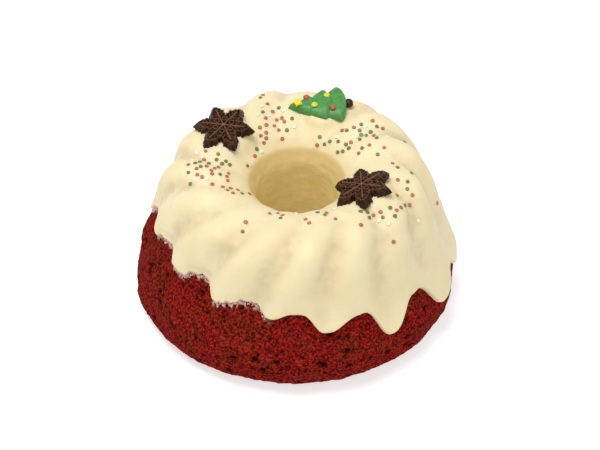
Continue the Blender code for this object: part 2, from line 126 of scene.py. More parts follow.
# A bead along the lower edge: its place and spread, then what it adds to the thickness at a drip and takes
# off between drips and where the edge is torn
BEAD_DISTANCE, BEAD_SPREAD = 2.5 * MM, 2.6 * MM
BEAD_AT_DRIP, BEAD_BETWEEN_DRIPS, BEAD_WHERE_TORN = 0.32, 0.2, 0.30
# The torn and crumbly stretch of the edge, in degrees
RAGGED_FROM, RAGGED_TO = -100, -12
# The shell starts this many millimetres below DRIP_EDGE, as its round rim leaves the sponge only higher up
EDGE_DROP = 0.8
# Ripples roughen the icing in the hole, rising between these shares of the section
RIPPLES_FROM, RIPPLES_TO = 0.64, 0.70
# A fold along the right of the hole's lip: its share of the section, its spread, its depth, and the angles
# over which it fades in and out
CREASE_SHARE, CREASE_WIDTH, CREASE_DEPTH = 0.676, 0.0035, 0.8 * MM
CREASE_IN, CREASE_OUT = (98, 112), (142, 156)
# Swellings of the icing at the back: angle, share of the section, their spreads, height in millimetres
HUMPS = [(189, 0.45, 7, 0.05, 3.0), (138, 0.45, 8, 0.05, 2.8)]
# Shares of the section over which the icing takes a painted ochre for light bounced round the hole, and a
# darker tone along the lip that is partly thin icing over the sponge and partly painted shade
HOLE_BOUNCE_FROM, HOLE_BOUNCE_TO = 0.635, 0.652
LIP_SHADE_FROM, LIP_SHADE_FULL, LIP_SHADE_TO = 0.635, 0.650, 0.685

SEED = 11


# Numbers and noise

def smooth_step(low, high, value):
    """0 below `low`, 1 above `high`, and a smooth rise between them."""
    share = np.clip((value - low) / (high - low), 0, 1)
    return share * share * (3 - 2 * share)


def scatter_values(cells, seed):
    """A fixed pseudo-random number from 0 to 1 for each lattice cell, by an integer hash."""
    mixed = cells[..., 0] * 73856093 ^ cells[..., 1] * 19349663 ^ cells[..., 2] * 83492791
    mixed = mixed ^ seed * 2654435761
    mixed = (mixed & 0xFFFFFFFF).astype(np.uint64)
    for shift in (15, 13, 16):
        mixed = ((mixed ^ (mixed >> np.uint64(shift))) * np.uint64(2246822519)) & np.uint64(0xFFFFFFFF)
    return (mixed & np.uint64(0xFFFF)).astype(float) / 65535


def lumps(points, size, seed):
    """Smooth noise from -1 to 1 with lumps about `size` across."""
    spot = np.asarray(points) / size
    cell = np.floor(spot).astype(np.int64)
    share = spot - cell
    share = share * share * (3 - 2 * share)
    total = 0
    for corner in np.ndindex(2, 2, 2):
        weight = np.prod(np.where(corner, share, 1 - share), axis=-1)
        total = total + weight * scatter_values(cell + np.array(corner), seed)
    return 2 * total - 1


def nearest_seed(points, size, seed):
    """Distance to the nearest of one scattered seed per cell, in cells, and that seed's own random value."""
    spot = np.asarray(points) / size
    cell = np.floor(spot).astype(np.int64)
    best = np.full(spot.shape[:-1], 9.0)
    value = np.zeros(spot.shape[:-1])
    for shift in np.ndindex(3, 3, 3):
        other = cell + np.array(shift) - 1
        place = other + np.stack([scatter_values(other, seed + k) for k in (1, 2, 3)], axis=-1)
        distance = np.linalg.norm(place - spot, axis=-1)
        value = np.where(distance < best, scatter_values(other, seed + 4), value)
        best = np.minimum(best, distance)
    return best, value


# The cake's surface

def smooth_curve(points, steps=24):
    """A Catmull-Rom curve through the points."""
    points = [np.array(point, float) for point in points]
    padded = [2 * points[0] - points[1], *points, 2 * points[-1] - points[-2]]
    curve = []
    for before, start, end, after in zip(padded, padded[1:], padded[2:], padded[3:]):
        for t in np.linspace(0, 1, steps, endpoint=False):
            bend = (2 * before - 5 * start + 4 * end - after) * t**2
            twist = (3 * start - before - 3 * end + after) * t**3
            curve.append((2 * start + (end - before) * t + bend + twist) / 2)
    curve.append(points[-1])
    return np.array(curve)


class Section:
    """The sponge's section as a curve of known length, with its outward normals."""

    def __init__(self):
        self.curve = smooth_curve(SPONGE_SECTION) * (CAKE_RADIUS, SPONGE_HEIGHT)
        steps = np.linalg.norm(np.diff(self.curve, axis=0), axis=1)
        self.along = np.concatenate([[0], np.cumsum(steps)])
        self.length = self.along[-1]
        self.share = self.along / self.length
        run = np.gradient(self.curve, axis=0)
        run /= np.linalg.norm(run, axis=1)[:, None]
        self.normal = np.stack([run[:, 1], -run[:, 0]], axis=1)
        self.crest = int(self.curve[:, 1].argmax())

    def outer_share(self, height):
        """The share of the section at a height on the outer wall."""
        return np.interp(height, self.curve[: self.crest, 1], self.share[: self.crest])

    def hole_share(self, height):
        """The share of the section at a height in the hole."""
        inner = slice(None, self.crest, -1)
        return np.interp(height, self.curve[inner, 1], self.share[inner])

    def skin(self, angle, share, lift):
        """Points `lift` above the fluted sponge; all three are arrays of one shape."""
        radius, height = (np.interp(share, self.share, self.curve[:, k]) for k in (0, 1))
        across, up = (np.interp(share, self.share, self.normal[:, k]) for k in (0, 1))
        lift = lift - flute_inset(angle, share)
        radius = radius + across * lift
        turn = np.radians(angle)
        foot = 1 - smooth_step(FOOT_LOW, FOOT_HIGH, height)
        x = radius * np.sin(turn) * (1 + FOOT_SPREAD * foot) + FOOT_SHIFT * foot
        return np.stack([x, -radius * np.cos(turn), height + up * lift], axis=-1)


def flute_inset(angle, share):
    """How far the skin lies inside the section's curve: nothing on a ridge, the flute's depth in a valley."""
    sweep = RIDGE_ANGLE_ON_WALL + SWEEP_ANGLE * smooth_step(SWEEP_START, SWEEP_END, share)
    swell = np.sqrt(np.cos(np.pi * (angle - sweep) * FLUTES / 360) ** 2 + VALLEY_SOFTNESS)
    lowest, highest = math.sqrt(VALLEY_SOFTNESS), math.sqrt(1 + VALLEY_SOFTNESS)
    fade = np.interp(share, *zip(*FLUTE_FADE))
    return FLUTE_DEPTH * fade * (highest - swell) / (highest - lowest)


def raggedness(angle):
    """1 where the icing's edge is thin and crumbly, 0 where it is smooth."""
    angle = (angle + 180) % 360 - 180
    begins = smooth_step(RAGGED_FROM - 12, RAGGED_FROM, angle)
    return begins * (1 - smooth_step(RAGGED_TO - 6, RAGGED_TO + 4, angle))


def drip_shape(angle):
    """Height of the icing's lower edge, and how much of a drip hangs there: 1 at a low, 0 at a high."""
    knots = np.array([*DRIP_EDGE, (DRIP_EDGE[0][0] + 360, DRIP_EDGE[0][1])], float)
    angle = (angle - knots[0, 0]) % 360 + knots[0, 0]
    span = np.clip(np.searchsorted(knots[:, 0], angle, side="right") - 1, 0, len(knots) - 2)
    (start, first), (end, last) = knots[span].T, knots[span + 1].T
    run = (angle - start) / (end - start)
    fall = 0.5 - 0.5 * np.sin(0.5 * np.pi * np.cos(np.pi * run ** 1.25))
    share = np.where(last < first, fall, 0.5 - 0.5 * np.cos(np.pi * run))
    height = first + (last - first) * share - EDGE_DROP
    drip = np.where(last < first, share, 1 - share)
    rough = raggedness(angle)
    turn = np.radians(angle)
    ring = np.stack([np.cos(turn), np.sin(turn), 0 * turn], axis=-1)
    teeth = 1.3 * lumps(ring, 0.055, 4) + 0.9 * lumps(ring, 0.022, 5)
    wander = 0.5 * lumps(ring, 0.11, 3) + rough * teeth
    return MM * (height + wander), drip


def hole_edge(angle):
    """Height of the icing's edge in the hole."""
    turn = np.radians(angle)
    return HOLE_EDGE_HEIGHT + HOLE_EDGE_WAVE * (0.7 * np.sin(3 * turn + 1) + 0.5 * np.sin(7 * turn))


def rows_between(start, end, count):
    """`count` rows from start up to, but without, end; start and end are one value for each angle."""
    part = np.linspace(0, 1, count, endpoint=False)[:, None]
    return start + (end - start) * part


# Meshes

def ring_faces(rows, columns, wrap=False):
    """Quads between rows of points that go right round; `wrap` joins the last row to the first."""
    row, column = np.meshgrid(np.arange(rows if wrap else rows - 1), np.arange(columns), indexing="ij")
    following = (column + 1) % columns
    low, high = row * columns, (row + 1) % rows * columns
    return np.stack([low + column, low + following, high + following, high + column], axis=-1).reshape(-1, 4)


def add_mesh(name, points, faces, look, slot, replaces=()):
    """A smooth-shaded piece that rides on the cake and stands for the CAD nodes it replaces."""
    mesh = bpy.data.meshes.new(name)
    mesh.from_pydata(np.asarray(points).reshape(-1, 3).tolist(), [], [list(face) for face in faces])
    mesh.shade_smooth()
    mesh.materials.append(look)
    made = link_new(name, mesh)
    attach(made, "root")
    if replaces:
        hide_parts(*replaces)
    return made


def paint(piece, name, values):
    """Stores a number on the piece's first points and 0 on the others, which its material reads by name."""
    numbers = np.zeros(len(piece.data.vertices), np.float32)
    numbers[: np.size(values)] = np.ravel(values)
    layer = piece.data.attributes.new(name, "FLOAT", "POINT")
    layer.data.foreach_set("value", numbers)


def pits_in(points, size, seed, floor, rim, empty):
    """1 on the floor of each scattered pit and 0 outside its rim."""
    distance, kind = nearest_seed(points, size, seed)
    return (1 - smooth_step(floor, rim, distance)) * (kind > empty)


def sponge_underside(outer, inner):
    """Rows from the hole's edge to the outer edge of the foot, hollowed a little between the two."""
    across = np.linspace(0, 1, 14)[1:-1, None, None]
    under = inner + (outer - inner) * across
    hollow = smooth_step(0, 0.12, across[..., 0]) * smooth_step(0, 0.12, 1 - across[..., 0])
    under[..., 2] = UNDERSIDE_HOLLOW * np.abs(lumps(under, 6 * MM, 12)) * hollow
    return under


def build_sponge(section, look):
    """The sponge: lumpy, with pits and crumbs where it is bare, and sunk a little under the icing."""
    angle = np.linspace(0, 360, STEPS_ROUND, endpoint=False)
    drip, _ = drip_shape(angle)
    drip = section.outer_share(drip + SPONGE_OVERLAP)
    hole = section.hole_share(hole_edge(angle) + SPONGE_OVERLAP)
    heel = section.outer_share(HEEL_HEIGHT) + 0 * angle
    share = np.concatenate([
        rows_between(0 * angle, heel, 26), rows_between(heel, drip, 62), rows_between(drip, hole, 28),
        rows_between(hole, 1 + 0 * angle, 22), np.ones((1, STEPS_ROUND)),
    ])
    angles = np.broadcast_to(angle, share.shape)
    plain = section.skin(angles, share, 0 * share)
    covered = smooth_step(0, SINKING_WIDTH, (share - drip) * section.length)
    covered = covered * smooth_step(0, SINKING_WIDTH, (hole - share) * section.length)
    pits = np.maximum(*(pits_in(plain, *kind) for kind in SPONGE_PITS))
    grain, _ = nearest_seed(plain, GRAIN_SIZE, 30)
    rough = sum(height * lumps(plain, size, seed) for size, height, seed in SPONGE_LUMPS)
    rough = rough + GRAIN_HEIGHT * (0.5 - grain) - PIT_DEPTH * pits - CRUMB_DROP
    edge = smooth_step(0, 0.04, share) * (1 - smooth_step(0.97, 1, share))
    lift = MM * rough * edge * (1 - covered) - SUNK * covered
    points = kept_inside(section.skin(angles, share, lift))
    points[..., 2] = np.maximum(points[..., 2], 0)
    points = np.concatenate([points, sponge_underside(points[0], points[-1])])
    piece = add_mesh("sponge", points, ring_faces(len(points), STEPS_ROUND, wrap=True), look, "sponge",
                     ["sponge_ring"])
    # The pits' floors, which the material darkens with painted shade
    paint(piece, "pit_shade", pits)
    below = (drip - share) * section.length
    paint(piece, "frost", raggedness(angles) * (1 - smooth_step(FROST_FROM, FROST_TO, below)))


def icing_thickness(plain, angles, share):
    """The icing's thickness without its edge: lumpy, rippled in the hole, with the fold and the swellings."""
    full = np.interp(share, *zip(*ICING_TAPER))
    uneven = 0.18 * MM * lumps(plain, 17 * MM, 40) + 0.07 * MM * lumps(plain, 6 * MM, 41)
    bent = plain + 2.5 * MM * lumps(plain, 9 * MM, 44)[..., None]
    ripples = 0.22 * lumps(bent * (0.5, 0.5, 1), 4.2 * MM, 42)
    ripples = ripples + 0.06 * lumps(bent * (0.7, 0.7, 1), 1.8 * MM, 43)
    uneven = uneven + smooth_step(RIPPLES_FROM, RIPPLES_TO, share) * MM * ripples
    crease = np.exp(-(((share - CREASE_SHARE) / CREASE_WIDTH) ** 2)) * smooth_step(*CREASE_IN, angles)
    uneven = uneven - CREASE_DEPTH * crease * (1 - smooth_step(*CREASE_OUT, angles))
    for middle, level, angle_spread, share_spread, height in HUMPS:
        away = ((angles - middle) / angle_spread) ** 2 + ((share - level) / share_spread) ** 2
        uneven = uneven + height * MM * np.exp(-away)
    return full, uneven


def build_icing(section, look, seats):
    """The icing: a shell with rounded rims, thicker at each drip, thin and torn along the ragged stretch."""
    angle = np.linspace(0, 360, STEPS_ROUND, endpoint=False)
    height, drip = drip_shape(angle)
    ragged = raggedness(angle)
    start = section.outer_share(height)
    end = section.hole_share(hole_edge(angle))
    shoulder = section.outer_share(SHOULDER_HEIGHT) + 0 * angle
    throat = section.hole_share(THROAT_HEIGHT) + 0 * angle
    rim = (RIM - TORN_RIM_LOSS * ragged) / section.length
    hole_rim = HOLE_RIM / section.length
    bend = np.linspace(0, math.pi / 2, 9)[:-1, None]
    share = np.concatenate([
        start + rim * (1 - np.cos(bend)), rows_between(start + rim, shoulder, 46),
        rows_between(shoulder, throat, 62), rows_between(throat, end - hole_rim, 18),
        end - hole_rim * (1 - np.sin(bend)),
    ])
    swell = np.ones(share.shape)
    swell[: len(bend)] = np.sin(bend)
    swell[-len(bend):] = np.cos(bend)
    angles = np.broadcast_to(angle, share.shape)
    plain = section.skin(angles, share, 0 * share)
    full, uneven = icing_thickness(plain, angles, share)
    distance = (share - start) * section.length
    near_edge = np.exp(-(((distance - BEAD_DISTANCE) / BEAD_SPREAD) ** 2))
    bead = BEAD_AT_DRIP * drip - BEAD_WHERE_TORN * ragged - BEAD_BETWEEN_DRIPS * (1 - drip)
    full = full * (1 + near_edge * bead) + uneven
    lift = (full + SUNK) * swell - SUNK
    outer = kept_inside(press_seats(section.skin(angles, share, lift), plain, seats))
    back = np.linspace(share[-1], share[0], 14)[1:-1]
    under = section.skin(np.broadcast_to(angle, back.shape), back, 0 * back - SUNK)
    points = np.concatenate([outer, under])
    piece = add_mesh("icing", points, ring_faces(len(points), STEPS_ROUND, wrap=True), look, "cream_icing",
                     ["icing_glaze"])
    paint(piece, "valley", flute_inset(angles, share) / FLUTE_DEPTH)
    # Where the painted ochre for light bounced round the hole takes over
    paint(piece, "hollow", smooth_step(HOLE_BOUNCE_FROM, HOLE_BOUNCE_TO, share))
    # Painted shade along the hole's lip, partly thin icing over the sponge
    paint(piece, "lip", smooth_step(LIP_SHADE_FROM, LIP_SHADE_FULL, share) * (1 - smooth_step(LIP_SHADE_FULL, LIP_SHADE_TO, share)))
    paint(piece, "edge", 1 - smooth_step(0, 7 * MM, distance))
    paint(piece, "torn", ragged * (1 - smooth_step(0.8 * MM, 2.2 * MM, distance)))
    return piece


def kept_inside(points):
    """Squeezes what comes within a millimetre of the CAD model's box, so that nothing passes it sideways."""
    (left, front, _), (right, back, _) = CAD_BOX
    for axis, lowest, highest in ((0, left, right), (1, front, back)):
        for sign, limit in ((1, highest), (-1, -lowest)):
            over = sign * points[..., axis] - (limit - MM)
            squeezed = limit - MM + MM * np.tanh(np.maximum(over, 0) / MM)
            points[..., axis] = np.where(over > 0, sign * squeezed, points[..., axis])
    return points


TOPPER_SUNK = 0.4 * MM


def press_seats(outer, inner, seats):
    """Presses or lifts the icing to meet each topper, with a soft shoulder round it. A seat is the topper's
    place, its middle along that place's X, how far it reaches, and how far the icing may rise to it."""
    slope = outer - inner
    slope = slope / np.linalg.norm(slope, axis=-1, keepdims=True)
    for place, middle, reach, most_lift in seats:
        centre = np.array(place @ Vector((middle, 0, 0)))
        normal = np.array(place.col[2].to_3d())
        away = np.linalg.norm(outer - centre, axis=-1)
        above = (outer - centre) @ normal - TOPPER_SUNK
        pressed = np.maximum(above, 0) * (1 - smooth_step(reach - MM, reach + 4 * MM, away))
        fading = smooth_step(0.5 * reach, 0.5 * reach + 3 * most_lift, away)
        lifted = np.clip(-above, 0, most_lift) * (1 - fading)
        drop = (pressed - lifted) / np.maximum(slope @ normal, 0.3)
        outer = outer - slope * drop[..., None]
    return outer


# Toppers

def node_points(node):
    """The corners of a CAD node."""
    return np.array([vertex.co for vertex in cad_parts[node].data.vertices])


def flat_place(node, length=0.0):
    """The place of a flat topper, from its CAD solid: +Z out of its face, +X towards its farthest point. Its
    origin is the middle of its underside or, where `length` is given, that far short of that point."""
    points = np.unique(node_points(node).round(6), axis=0)
    normal = np.linalg.svd(points - points.mean(axis=0))[2][2]
    normal = normal * np.sign(normal[2])
    height = points @ normal
    base = points[height < height.min() + 0.3 * MM]
    centre = base.mean(axis=0)
    far = base[np.linalg.norm(base - centre, axis=1).argmax()]
    ahead = (far - centre) / np.linalg.norm(far - centre)
    if length:
        centre = far - ahead * length
    side = np.cross(normal, ahead)
    place = Matrix.Identity(4)
    for column, vector in enumerate((ahead, side, normal, centre)):
        place.col[column][:3] = vector
    return place


def in_place(place, points):
    """Points given in a place's own axes, turned and moved to it."""
    turn = np.array(place.to_3x3())
    return np.asarray(points) @ turn.T + np.array(place.translation)


def cut_corners(outline, rounds=2, share=0.25):
    """Rounds a closed outline off by cutting its corners."""
    for _ in range(rounds):
        following = np.roll(outline, -1, axis=0)
        first, second = outline + share * (following - outline), following + share * (outline - following)
        outline = np.stack([first, second], axis=1).reshape(-1, 2)
    return outline


def refine(outline, parts):
    """Splits each side of a closed outline into equal parts."""
    steps = (np.roll(outline, -1, axis=0) - outline)[:, None] * np.arange(parts)[:, None] / parts
    return (outline[:, None] + steps).reshape(-1, 2)


def edge_distance(points, outline):
    """Distance from each point to a closed outline."""
    best = np.full(len(points), 1.0)
    for corner, run in zip(outline, np.roll(outline, -1, axis=0) - outline):
        share = np.clip((points - corner) @ run / (run @ run), 0, 1)
        best = np.minimum(best, np.linalg.norm(points - corner - share[:, None] * run, axis=1))
    return best


# Half of a snowflake's arm, from the valley between two arms to the tip, in millimetres
SNOWFLAKE_ARM = [(6.5, 3.75), (8.6, 4.6), (9.3, 3.7), (11.6, 4.5), (12.4, 3.3), (14.6, 2.5), (17.5, 0.0)]
SNOWFLAKE_FACE = 4.6 * MM
FRILL_DEPTH, FRILL_PITCH = 0.26 * MM, 2.1 * MM
# The face against the foot: length and width of its arms, and its size as a whole
FACE_ALONG, FACE_ACROSS, FACE_SCALE = 0.75, 0.92, 0.97
# The upright band round the foot, above which the sides lean in
BAND_HEIGHT = 0.6 * MM
# The pattern: its height over the ground, and how far the ground is sunk into the face, in millimetres
RELIEF_HEIGHT, GROUND_DEPTH = 1.6, 1.3
RIM_LINE, RIB_WIDTH, VEIN_WIDTH = (0.35 * MM, 0.7 * MM), 0.6 * MM, 0.42 * MM
RIB_END = (11.6 * MM, 13.0 * MM)
VEIN_STARTS = (6.2 * MM, 8.4 * MM, 10.4 * MM)
RING_REACH, RING_RADIUS, RING_WIDTH = 4.7 * MM, 1.3 * MM, 0.45 * MM


def snowflake_outline(along, across):
    """The snowflake's outline, its arms shortened beyond the valleys and narrowed."""
    valley = SNOWFLAKE_ARM[0][0]
    half = [(valley + (x - valley) * along, y * across) for x, y in SNOWFLAKE_ARM]
    arm = np.array([(x, -y) for x, y in half] + [(x, y) for x, y in half[-2:0:-1]]) * MM
    turns = [np.radians(60 * number) for number in range(6)]
    arms = [arm @ np.array([[math.cos(t), math.sin(t)], [-math.sin(t), math.cos(t)]]) for t in turns]
    outline = refine(cut_corners(np.concatenate(arms), 2, 0.14), 2)
    run = np.roll(outline, -1, axis=0) - np.roll(outline, 1, axis=0)
    along_edge = np.cumsum(np.linalg.norm(run, axis=1)) / 2
    outward = np.column_stack([run[:, 1], -run[:, 0]]) / np.linalg.norm(run, axis=1)[:, None]
    waves = round(along_edge[-1] / FRILL_PITCH / 6) * 6
    return outline + FRILL_DEPTH * np.sin(2 * np.pi * waves * along_edge / along_edge[-1])[:, None] * outward


def ridge(distance, width):
    """1 on a line and falling softly to 0 on both sides of it."""
    return np.exp(-((distance / width) ** 2))


def snowflake_relief(spots, outline):
    """Height of the pattern over the snowflake's face: rim, six ribs with veins, rings and a boss."""
    angle = np.degrees(np.arctan2(spots[:, 1], spots[:, 0]))
    folded = np.radians((angle + 30) % 60 - 30)
    reach = np.linalg.norm(spots, axis=1)
    along, aside = reach * np.cos(folded), np.abs(reach * np.sin(folded))
    rim = 1 - smooth_step(*RIM_LINE, edge_distance(spots, outline))
    rib = ridge(aside, RIB_WIDTH) * (1 - smooth_step(*RIB_END, along))
    relief = np.maximum(0.8 * rim, rib)
    for start in VEIN_STARTS:
        vein = np.abs((along - start) - 0.8 * aside) * 0.78
        relief = np.maximum(relief, 0.85 * ridge(vein, VEIN_WIDTH) * (reach > 5.8 * MM))
    middle = np.array([math.cos(math.pi / 6), math.sin(math.pi / 6)]) * RING_REACH
    ring = np.hypot(along - middle[0], aside - middle[1]) - RING_RADIUS
    relief = np.maximum(relief, 0.95 * ridge(ring, RING_WIDTH))
    boss = 1 - smooth_step(0.5 * MM, 1.5 * MM, reach)
    return MM * (RELIEF_HEIGHT * np.maximum(relief, boss) - GROUND_DEPTH)


def capped(rows, low, high):
    """Points and faces of a closed solid: rows that go right round, with a point at each end."""
    count = len(rows[0])
    points = np.concatenate([*rows, [[0, 0, low]], [[0, 0, high]]])
    faces = ring_faces(len(rows), count).tolist()
    last = (len(rows) - 1) * count
    foot, top = len(points) - 2, len(points) - 1
    for column in range(count):
        following = (column + 1) % count
        faces.append([foot, following, column])
        faces.append([top, last + column, last + following])
    return points, faces


def level_row(outline, height):
    """A closed outline as points at one height, or at one height each."""
    return np.column_stack([outline, np.broadcast_to(height, len(outline))])


def build_snowflake(name, node, look):
    """A snowflake: frilled sides that lean in to a face with a moulded pattern."""
    base = snowflake_outline(1.0, 1.0)
    face = snowflake_outline(FACE_ALONG, FACE_ACROSS) * FACE_SCALE
    rows = [level_row(base * inset, height)
            for inset, height in ((0.985, 0), (1.0, 0.25 * MM), (1.0, BAND_HEIGHT))]
    for share in np.linspace(0, 1, 10)[1:]:
        height = BAND_HEIGHT + (SNOWFLAKE_FACE - BAND_HEIGHT) * share ** 0.85
        rows.append(level_row(base + (face - base) * share, height))
    for share in np.linspace(1, 0.02, 48)[1:]:
        rows.append(level_row(face * share, SNOWFLAKE_FACE + snowflake_relief(face * share, face)))
    points, faces = capped(rows, 0, SNOWFLAKE_FACE + 0.3 * MM)
    piece = add_mesh(name, in_place(flat_place(node), points), faces, look, "dark_chocolate", [node])
    over_face = points[:, 2] - SNOWFLAKE_FACE
    # Painted highlight on the raised pattern of the face
    paint(piece, "crest", smooth_step(-0.2 * MM, 0.25 * MM, over_face))
    # Painted shade on the snowflake's sides and, more faintly, on the sunk ground of its face
    paint(piece, "flank_shade", 1 - smooth_step(-2.2 * MM, -0.7 * MM, over_face))
    piece.data.set_sharp_from_angle(angle=math.radians(38))


TREE_LENGTH = 33 * MM
# Tiers of the tree, millimetres from the foot: lower end, widest place, upper end, half width, thickness
TREE_TIERS = [
    (0.4, 5.0, 19.5, 12.2, 4.6), (8.6, 13.0, 25.4, 10.6, 4.7), (17.6, 21.4, 29.4, 6.6, 4.6),
    (23.6, 27.0, 33.0, 4.1, 4.2),
]
# The side that faces the cake's back is this much wider
TREE_FAR_SIDE = 1.18
STAR_RADIUS, STAR_WAIST = 3.3 * MM, 0.55
# The piped dots: their height and how deep they sit in the foliage, in millimetres
DOT_HEIGHT, DOT_SUNK = 1.25, 0.4
DOT_RADIUS = 1.82 * MM
TRUNK_RADII = (2.6 * MM, 2.8 * MM)


def tier_width(tier, x, far):
    """Half the width of a tier at a distance from the foot: a round lobe on the far side, fuller near."""
    low, widest, high, width, _ = tier
    foot = np.sqrt(np.clip(1 - ((widest - x) / (widest - low)) ** 2, 0, 1))
    run = np.clip((x - widest) / (high - widest), 0, 1)
    fullness = 0.9 if tier is TREE_TIERS[-1] else 0.5
    lobe = 1.1 - 0.095 * run - np.sqrt(run ** 2 + 0.01) if far else (1 - run) ** fullness
    return width * np.where(x < widest, foot, lobe) * (TREE_FAR_SIDE if far else 1)


def tree_top(x, y):
    """Height of the foliage at places across it, a distance x from its foot: the highest of the tiers."""
    top = np.zeros(len(y))
    for tier in TREE_TIERS:
        _, widest, high, half_width, thickness = tier
        width = np.where(y < 0, tier_width(tier, x, True), tier_width(tier, x, False))
        side = np.clip(1 - np.abs(y / np.maximum(width, 0.05)) ** 2.6, 0, 1) ** 0.5
        end = np.minimum(1, width / (0.36 * half_width)) ** 0.5
        lean = 1 - 0.30 * np.clip((x - widest) / (high - widest), 0, 1)
        top = np.maximum(top, thickness * side * end * lean)
    return top


def build_tree(look, place):
    """The foliage: four puffed tiers that meet in creases, on a flat underside."""
    foot, tip = TREE_TIERS[0][0], TREE_TIERS[-1][2]
    stations = foot + (tip - foot) * (1 - np.cos(np.linspace(0.04, 3.10, 150))) / 2
    across = np.sin(np.linspace(-math.pi / 2, math.pi / 2, 45))
    loops = []
    for x in stations:
        near, far = (max(tier_width(tier, x, side) for tier in TREE_TIERS) for side in (False, True))
        y = np.where(across < 0, far, near) * across
        under_y = np.linspace(0.97 * near, -0.97 * far, 11)
        around_y, heights = np.concatenate([y, under_y]), np.concatenate([tree_top(x, y), 0 * under_y])
        loops.append(np.column_stack([np.full(len(around_y), x), around_y, heights]) * MM)
    count = len(loops[0])
    points = np.concatenate(loops)
    faces = ring_faces(len(loops), count)[:, ::-1].tolist()
    faces.append(list(range(count)))
    faces.append(list(range(len(points) - count, len(points)))[::-1])
    points[:, 2] += 0.10 * MM * lumps(points, 2.6 * MM, 60) * smooth_step(0.3 * MM, 2 * MM, points[:, 2])
    add_mesh("tree", in_place(place, points), faces, look, "sugar_green", ["tree_foliage"])


def turned(outline, profile):
    """Points and faces of a closed solid: an outline scaled and raised step by step along (share, height)."""
    rows = [level_row(outline * share, height) for share, height in profile]
    return capped(rows, profile[0][1], profile[-1][1])


def circle(radius, sides):
    """Corners of a regular outline round the origin."""
    turn = np.linspace(0, 2 * math.pi, sides, endpoint=False)
    return radius * np.column_stack([np.cos(turn), np.sin(turn)])


def node_foot(node, place):
    """Where a small CAD piece stands on the tree: the place of its foot, turned as the tree is."""
    points = node_points(node)
    normal = np.array(place.col[2].to_3d())
    middle = (points.min(axis=0) + points.max(axis=0)) / 2
    heights = points @ normal
    foot = middle + normal * (heights.min() - middle @ normal)
    made = place.copy()
    made.translation = foot
    return made


def add_on_tree(name, node, solid, look, slot, place):
    """Adds a small piece where its CAD node stands on the tree."""
    points, faces = solid
    add_mesh(name, in_place(node_foot(node, place), points), faces, look, slot, [node])


def build_star(look, place):
    """A five-pointed star with soft corners and a domed face."""
    star = circle(STAR_RADIUS, 10)
    star[1::2] *= STAR_WAIST
    profile = [(1.0, -0.5), (1.02, 0.3), (1.0, 0.7), (0.93, 0.98), (0.8, 1.16), (0.6, 1.26), (0.3, 1.34),
               (0.05, 1.38)]
    solid = turned(cut_corners(star), [(share, height * MM) for share, height in profile])
    add_on_tree("star", "tree_star", solid, look, "sugar_yellow", place)


def build_dot(colour, number, peak, look, place):
    """A piped dot, drawn up by `peak` millimetres where the nozzle came off."""
    profile = []
    for rise in np.linspace(0, 88, 10):
        share, height = math.cos(math.radians(rise)), DOT_HEIGHT * math.sin(math.radians(rise))
        profile.append((share, (height - DOT_SUNK + peak * smooth_step(60, 88, rise)) * MM))
    points, faces = turned(circle(DOT_RADIUS, 28), profile)
    points[:, :2] *= 1 + 0.05 * lumps(points * (1, 1, 0), 1.4 * MM, 70 + number)[:, None]
    name = f"dot_{colour}_{number}"
    add_on_tree(name, f"tree_{name}", (points, faces), look, f"sugar_{colour}", place)


def build_trunk(look, place):
    """A blob of chocolate at the tree's foot."""
    profile = [(0.7, 0.05), (0.93, 0.25), (1.0, 0.9), (0.98, 1.6), (0.9, 2.4), (0.74, 3.1), (0.5, 3.6),
               (0.2, 3.85), (0.04, 3.9)]
    points, faces = turned(circle(1, 36) * TRUNK_RADII, [(share, rise * MM) for share, rise in profile])
    points[:, 0] += 0.7 * MM
    add_on_tree("trunk", "tree_trunk", (points, faces), look, "trunk_chocolate", place)


# Sprinkles and crumbs

SPRINKLE_RADIUS = 1.12 * MM
SPRINKLE_THICKNESS = 0.85 * MM
# Section of a disc: (share of its radius, share of its thickness), and the share that is in the icing
SPRINKLE_PROFILE = [(0.86, 0.0), (0.97, 0.08), (1.0, 0.25), (1.0, 0.6), (0.96, 0.82), (0.86, 0.95),
                    (0.6, 1.0), (0.3, 0.97), (0.05, 0.96)]
SPRINKLE_SUNK = 0.28
# Loose patches of further sprinkles: angle, its spread, radius in millimetres, its spread, how many
SPRINKLE_PATCHES = [
    (-90, 16, 47, 11, 20), (-62, 16, 38, 8, 6), (-128, 20, 36, 10, 7), (-168, 28, 38, 8, 11),
    (125, 16, 38, 9, 14), (150, 16, 33, 6, 5), (115, 24, 50, 10, 7), (50, 14, 55, 9, 9),
    (72, 14, 54, 8, 6), (22, 20, 42, 6, 6), (-20, 30, 41, 8, 3), (-35, 30, 44, 12, 2),
    (90, 35, 66, 9, 4), (-150, 20, 58, 9, 4),
]
SPRINKLE_SPACING = 2.5 * MM
SPRINKLE_COLOURS = {"red": 0.44, "green": 0.44, "white": 0.12}
HOLE_CLEARANCE = 27 * MM
MOST_TRIES = 60
CRUMBS = 760


def surface_of(piece):
    """A search tree over the triangles of a piece."""
    piece.data.calc_loop_triangles()
    points = [vertex.co.copy() for vertex in piece.data.vertices]
    return BVHTree.FromPolygons(points, [list(face.vertices) for face in piece.data.loop_triangles])


